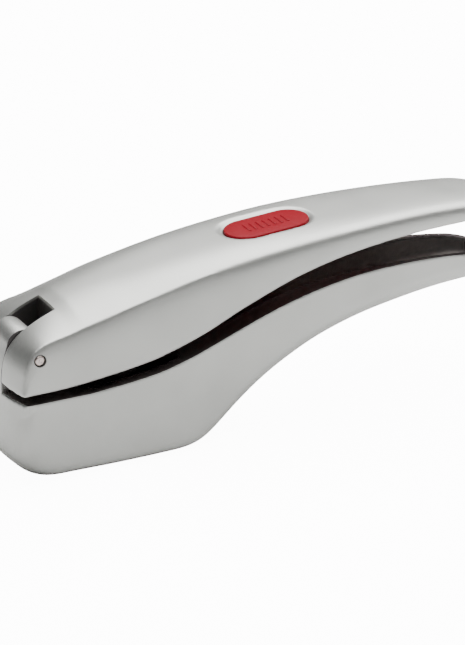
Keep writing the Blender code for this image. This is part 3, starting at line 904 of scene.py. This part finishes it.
# The flagged rim gets a painted shadow, as if under the upper handle, with a faint painted red
# reflection.
def mark_rim(piece):
    """Flags the ground faces of the rim with 1."""
    flag = piece.data.attributes.new("ground", "FLOAT", "FACE")
    for face, item in zip(piece.data.polygons, flag.data):
        place = (face.center - hinge) / MM
        item.value = float(face.normal.z > 0.9 and abs(place.z - rim_height(place.x)) < 0.15)
    return sum(item.value > 0.5 for item in flag.data)


print("points inside the upper and lower handles:", store_depth(upper, upper_depth),
      store_depth(lower, lower_depth))
print("ground faces along the rim:", mark_rim(lower))

# %% [markdown]
# Now the finishes. Grain and worn edges are needed by several materials, so each is a
# node group, built once. A group puts out only masks and heights, and each material
# decides what to do with them.

# %% Node helpers


def new_group(name, inputs, outputs):
    group = bpy.data.node_groups.new(name, "ShaderNodeTree")
    for label, value in inputs:
        socket = group.interface.new_socket(label, in_out="INPUT",
                                            socket_type="NodeSocketFloat")
        socket.default_value = value
    for label in outputs:
        group.interface.new_socket(label, in_out="OUTPUT", socket_type="NodeSocketFloat")
    return group, group.nodes.new("NodeGroupInput"), group.nodes.new("NodeGroupOutput")


def add(tree, kind, **settings):
    node = tree.nodes.new("ShaderNode" + kind)
    for key, value in settings.items():
        setattr(node, key, value)
    return node


# %% Grain group
# Fine and coarse noise together look like a blasted casting or a spark-eroded mould.
grain_group, gin, gout = new_group(
    "surface_grain", [("Scale", 4000.0), ("Coarse", 0.35)], ["Height", "Cloud"])
place = add(grain_group, "TexCoord")
fine = add(grain_group, "TexNoise")
fine.inputs["Detail"].default_value = 3.0
fine.inputs["Roughness"].default_value = 0.6
coarse = add(grain_group, "TexNoise")
coarse.inputs["Detail"].default_value = 4.0
cloud = add(grain_group, "TexNoise")
cloud.inputs["Scale"].default_value = 45.0
cloud.inputs["Detail"].default_value = 3.0
fraction = add(grain_group, "Math", operation="MULTIPLY")
fraction.inputs[1].default_value = 0.22
mixed = add(grain_group, "Math", operation="MULTIPLY")
total = add(grain_group, "Math", operation="ADD")
links = grain_group.links
for noise in (fine, coarse, cloud):
    links.new(place.outputs["Object"], noise.inputs["Vector"])
links.new(gin.outputs["Scale"], fine.inputs["Scale"])
links.new(gin.outputs["Scale"], fraction.inputs[0])
links.new(fraction.outputs[0], coarse.inputs["Scale"])
links.new(coarse.outputs["Fac"], mixed.inputs[0])
links.new(gin.outputs["Coarse"], mixed.inputs[1])
links.new(fine.outputs["Fac"], total.inputs[0])
links.new(mixed.outputs[0], total.inputs[1])
links.new(total.outputs[0], gout.inputs["Height"])
links.new(cloud.outputs["Fac"], gout.inputs["Cloud"])

# %% Wear group
# Edges that are handled most turn brighter, in patches.
wear_group, win, wout = new_group(
    "edge_wear", [("Spread", 0.5), ("Patches", 120.0)], ["Mask"])
shape = add(wear_group, "NewGeometry")
ridge = add(wear_group, "MapRange")
ridge.inputs["From Min"].default_value = 0.51
ridge.inputs["From Max"].default_value = 0.58
patch = add(wear_group, "TexNoise")
patch.inputs["Detail"].default_value = 4.0
patch_place = add(wear_group, "TexCoord")
patch_mask = add(wear_group, "MapRange")
patch_mask.inputs["From Min"].default_value = 0.38
patch_mask.inputs["From Max"].default_value = 0.62
both = add(wear_group, "Math", operation="MULTIPLY")
scaled = add(wear_group, "Math", operation="MULTIPLY")
links = wear_group.links
links.new(shape.outputs["Pointiness"], ridge.inputs["Value"])
links.new(patch_place.outputs["Object"], patch.inputs["Vector"])
links.new(win.outputs["Patches"], patch.inputs["Scale"])
links.new(patch.outputs["Fac"], patch_mask.inputs["Value"])
links.new(ridge.outputs["Result"], both.inputs[0])
links.new(patch_mask.outputs["Result"], both.inputs[1])
links.new(both.outputs[0], scaled.inputs[0])
links.new(win.outputs["Spread"], scaled.inputs[1])
links.new(scaled.outputs[0], wout.inputs["Mask"])
print("shared effects:", [group.name for group in (grain_group, wear_group)])

# %% [markdown]
# One recipe covers all the finishes: two tones that drift over the piece, roughness that
# drifts with them, grain for the bump, and wear on the edges. The castings get a second
# step that paints shade into their hollows and onto the rim.

# %% Finish recipe


def finish(name, light, dark, worn, rough, metallic, grain_scale, bump, coarse_share=0.35,
           wear=0.4):
    made = bpy.data.materials.new(name)
    made.use_nodes = True
    tree = made.node_tree
    shader = tree.nodes["Principled BSDF"]
    shader.inputs["Metallic"].default_value = metallic
    grain = add(tree, "Group", node_tree=grain_group)
    grain.inputs["Scale"].default_value = grain_scale
    grain.inputs["Coarse"].default_value = coarse_share
    edges = add(tree, "Group", node_tree=wear_group)
    edges.inputs["Spread"].default_value = wear
    tone = add(tree, "MixRGB")
    tone.inputs["Color1"].default_value = (*light, 1.0)
    tone.inputs["Color2"].default_value = (*dark, 1.0)
    tree.links.new(grain.outputs["Cloud"], tone.inputs["Fac"])
    colour = add(tree, "MixRGB")
    colour.inputs["Color2"].default_value = (*worn, 1.0)
    tree.links.new(edges.outputs["Mask"], colour.inputs["Fac"])
    tree.links.new(tone.outputs["Color"], colour.inputs["Color1"])
    tree.links.new(colour.outputs["Color"], shader.inputs["Base Color"])
    gloss = add(tree, "MapRange")
    gloss.inputs["From Min"].default_value = 0.3
    gloss.inputs["From Max"].default_value = 0.7
    gloss.inputs["To Min"].default_value = rough[0]
    gloss.inputs["To Max"].default_value = rough[1]
    tree.links.new(grain.outputs["Cloud"], gloss.inputs["Value"])
    tree.links.new(gloss.outputs["Result"], shader.inputs["Roughness"])
    relief = add(tree, "Bump")
    relief.inputs["Strength"].default_value = 0.35
    relief.inputs["Distance"].default_value = bump * MM
    tree.links.new(grain.outputs["Height"], relief.inputs["Height"])
    tree.links.new(relief.outputs["Normal"], shader.inputs["Normal"])
    return made


def painted_hollow_shade(made, narrow, wide, rim):
    """Painted shade below the skin: darkest just under it and in the slot, lighter deeper in;
    the rim a painted shadow with a faint painted red reflection.
    """
    tree = made.node_tree
    shader = tree.nodes["Principled BSDF"]
    outer = shader.inputs["Base Color"].links[0].from_socket
    field = add(tree, "Attribute", attribute_name="depth")
    cut = add(tree, "MapRange")
    cut.inputs["From Min"].default_value = -0.1
    cut.inputs["From Max"].default_value = 0.1
    broad = add(tree, "MapRange")
    broad.inputs["From Min"].default_value = 0.3
    broad.inputs["From Max"].default_value = 1.2
    dark = add(tree, "MixRGB")
    dark.inputs["Color1"].default_value = (*narrow, 1.0)
    dark.inputs["Color2"].default_value = (*wide, 1.0)
    both = add(tree, "MixRGB")
    ground = add(tree, "Attribute", attribute_name="ground")
    deck = add(tree, "MixRGB")
    deck.inputs["Color2"].default_value = (*rim, 1.0)
    either = add(tree, "Math", operation="MAXIMUM")
    tree.links.new(field.outputs["Fac"], cut.inputs["Value"])
    tree.links.new(field.outputs["Fac"], broad.inputs["Value"])
    tree.links.new(broad.outputs["Result"], dark.inputs["Fac"])
    tree.links.new(cut.outputs["Result"], either.inputs[0])
    tree.links.new(ground.outputs["Fac"], either.inputs[1])
    tree.links.new(either.outputs[0], both.inputs["Fac"])
    tree.links.new(ground.outputs["Fac"], deck.inputs["Fac"])
    tree.links.new(dark.outputs["Color"], deck.inputs["Color1"])
    tree.links.new(outer, both.inputs["Color1"])
    tree.links.new(deck.outputs["Color"], both.inputs["Color2"])
    tree.links.new(both.outputs["Color"], shader.inputs["Base Color"])


satin = finish("satin_casting", (0.580, 0.584, 0.556), (0.530, 0.534, 0.508), (0.68, 0.68, 0.66),
               (0.40, 0.46), 0.85, 3000.0, 0.10)
# The inside and the rim are painted shade: dark tones where shade falls, the rim's with a faint
# painted red reflection.
painted_hollow_shade(satin, (0.14, 0.132, 0.13), (0.36, 0.335, 0.325), (0.13, 0.108, 0.104))
inner_cast = finish("plain_casting", (0.50, 0.50, 0.49), (0.42, 0.42, 0.41),
                    (0.62, 0.62, 0.61), (0.42, 0.55), 0.9, 3200.0, 0.09)
sieve_steel = finish("sieve_steel", (0.60, 0.61, 0.62), (0.54, 0.55, 0.56),
                     (0.72, 0.72, 0.73), (0.24, 0.34), 1.0, 5200.0, 0.03)
pin_steel = finish("pin_steel", (0.72, 0.62, 0.58), (0.62, 0.54, 0.50), (0.80, 0.74, 0.70),
                   (0.28, 0.40), 0.95, 6000.0, 0.03)
red = finish("red_moulding", (0.27, 0.005, 0.013), (0.24, 0.004, 0.011), (0.32, 0.010, 0.020),
             (0.38, 0.46), 0.0, 4200.0, 0.06, wear=0.25)
red.node_tree.nodes["Principled BSDF"].inputs["Specular IOR Level"].default_value = 0.1

PIECES = [
    (upper, "lever", "cast_satin", satin, "upper_handle"),
    (lower, "base", "cast_satin", satin, "lower_handle"),
    (plunger, "press_foot", "cast_bare", inner_cast, "plunger"),
    (sieve, "base", "sieve_steel", sieve_steel, "sieve_plate"),
    (hinge_pin, "lever", "pin_steel", pin_steel, "hinge_pin"),
    (pivot_pin, "lever", "pin_steel", pin_steel, "plunger_pin"),
    (cleaner, "cleaning_tool", "red_plastic", red, "cleaner"),
]
for piece, body, slot_name, material, node in PIECES:
    piece.data.materials.clear()
    piece.data.materials.append(material)
    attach(piece, body)
    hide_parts(node)
    print(piece.name, "rides on", body, "and stands for", node)

# %% [markdown]
# The stage is a pale floor under one broad, soft panel. The backs of the handles mirror
# the panel, and their sides mirror the lit floor in front. What lies between the two is
# dark, and it draws the line along the crease. The floor glows towards the camera only,
# so it looks white while the glow puts no light on the press.

# %% Floor, light and world
FLOOR_GLOW = 12.0
bpy.ops.mesh.primitive_plane_add(size=6.0, location=(0.0, 0.0, -0.0004))
floor = bpy.context.object
floor.name = "floor"
floor_look = bpy.data.materials.new("pale_floor")
floor_look.use_nodes = True
floor_shader = floor_look.node_tree.nodes["Principled BSDF"]
floor_shader.inputs["Base Color"].default_value = (0.86, 0.86, 0.86, 1.0)
floor_shader.inputs["Roughness"].default_value = 0.9
floor_shader.inputs["Emission Color"].default_value = (1.0, 1.0, 1.0, 1.0)
path = floor_look.node_tree.nodes.new("ShaderNodeLightPath")
glow = floor_look.node_tree.nodes.new("ShaderNodeMath")
glow.operation = "MULTIPLY"
glow.inputs[1].default_value = FLOOR_GLOW
floor_look.node_tree.links.new(path.outputs["Is Camera Ray"], glow.inputs[0])
floor_look.node_tree.links.new(glow.outputs[0], floor_shader.inputs["Emission Strength"])
floor.data.materials.append(floor_look)


def panel(name, place, aim, width, height, power):
    data = bpy.data.lights.new(name, "AREA")
    data.shape = "RECTANGLE"
    data.size = width
    data.size_y = height
    data.energy = power
    lamp = bpy.data.objects.new(name, data)
    bpy.context.scene.collection.objects.link(lamp)
    lamp.location = place
    lamp.rotation_euler = (Vector(aim) - Vector(place)).to_track_quat("-Z", "Y").to_euler()
    return lamp


panel("overhead", (0.45, 0.18, 1.0), (0.42, 0.08, 0.0), 1.5, 1.6, 41.0)
world = bpy.data.worlds.new("studio")
bpy.context.scene.world = world
world.use_nodes = True
sky = world.node_tree.nodes["Background"]
sky.inputs["Color"].default_value = (0.9, 0.95, 1.0, 1.0)
sky.inputs["Strength"].default_value = 0.06
print("one broad panel and a pale floor")
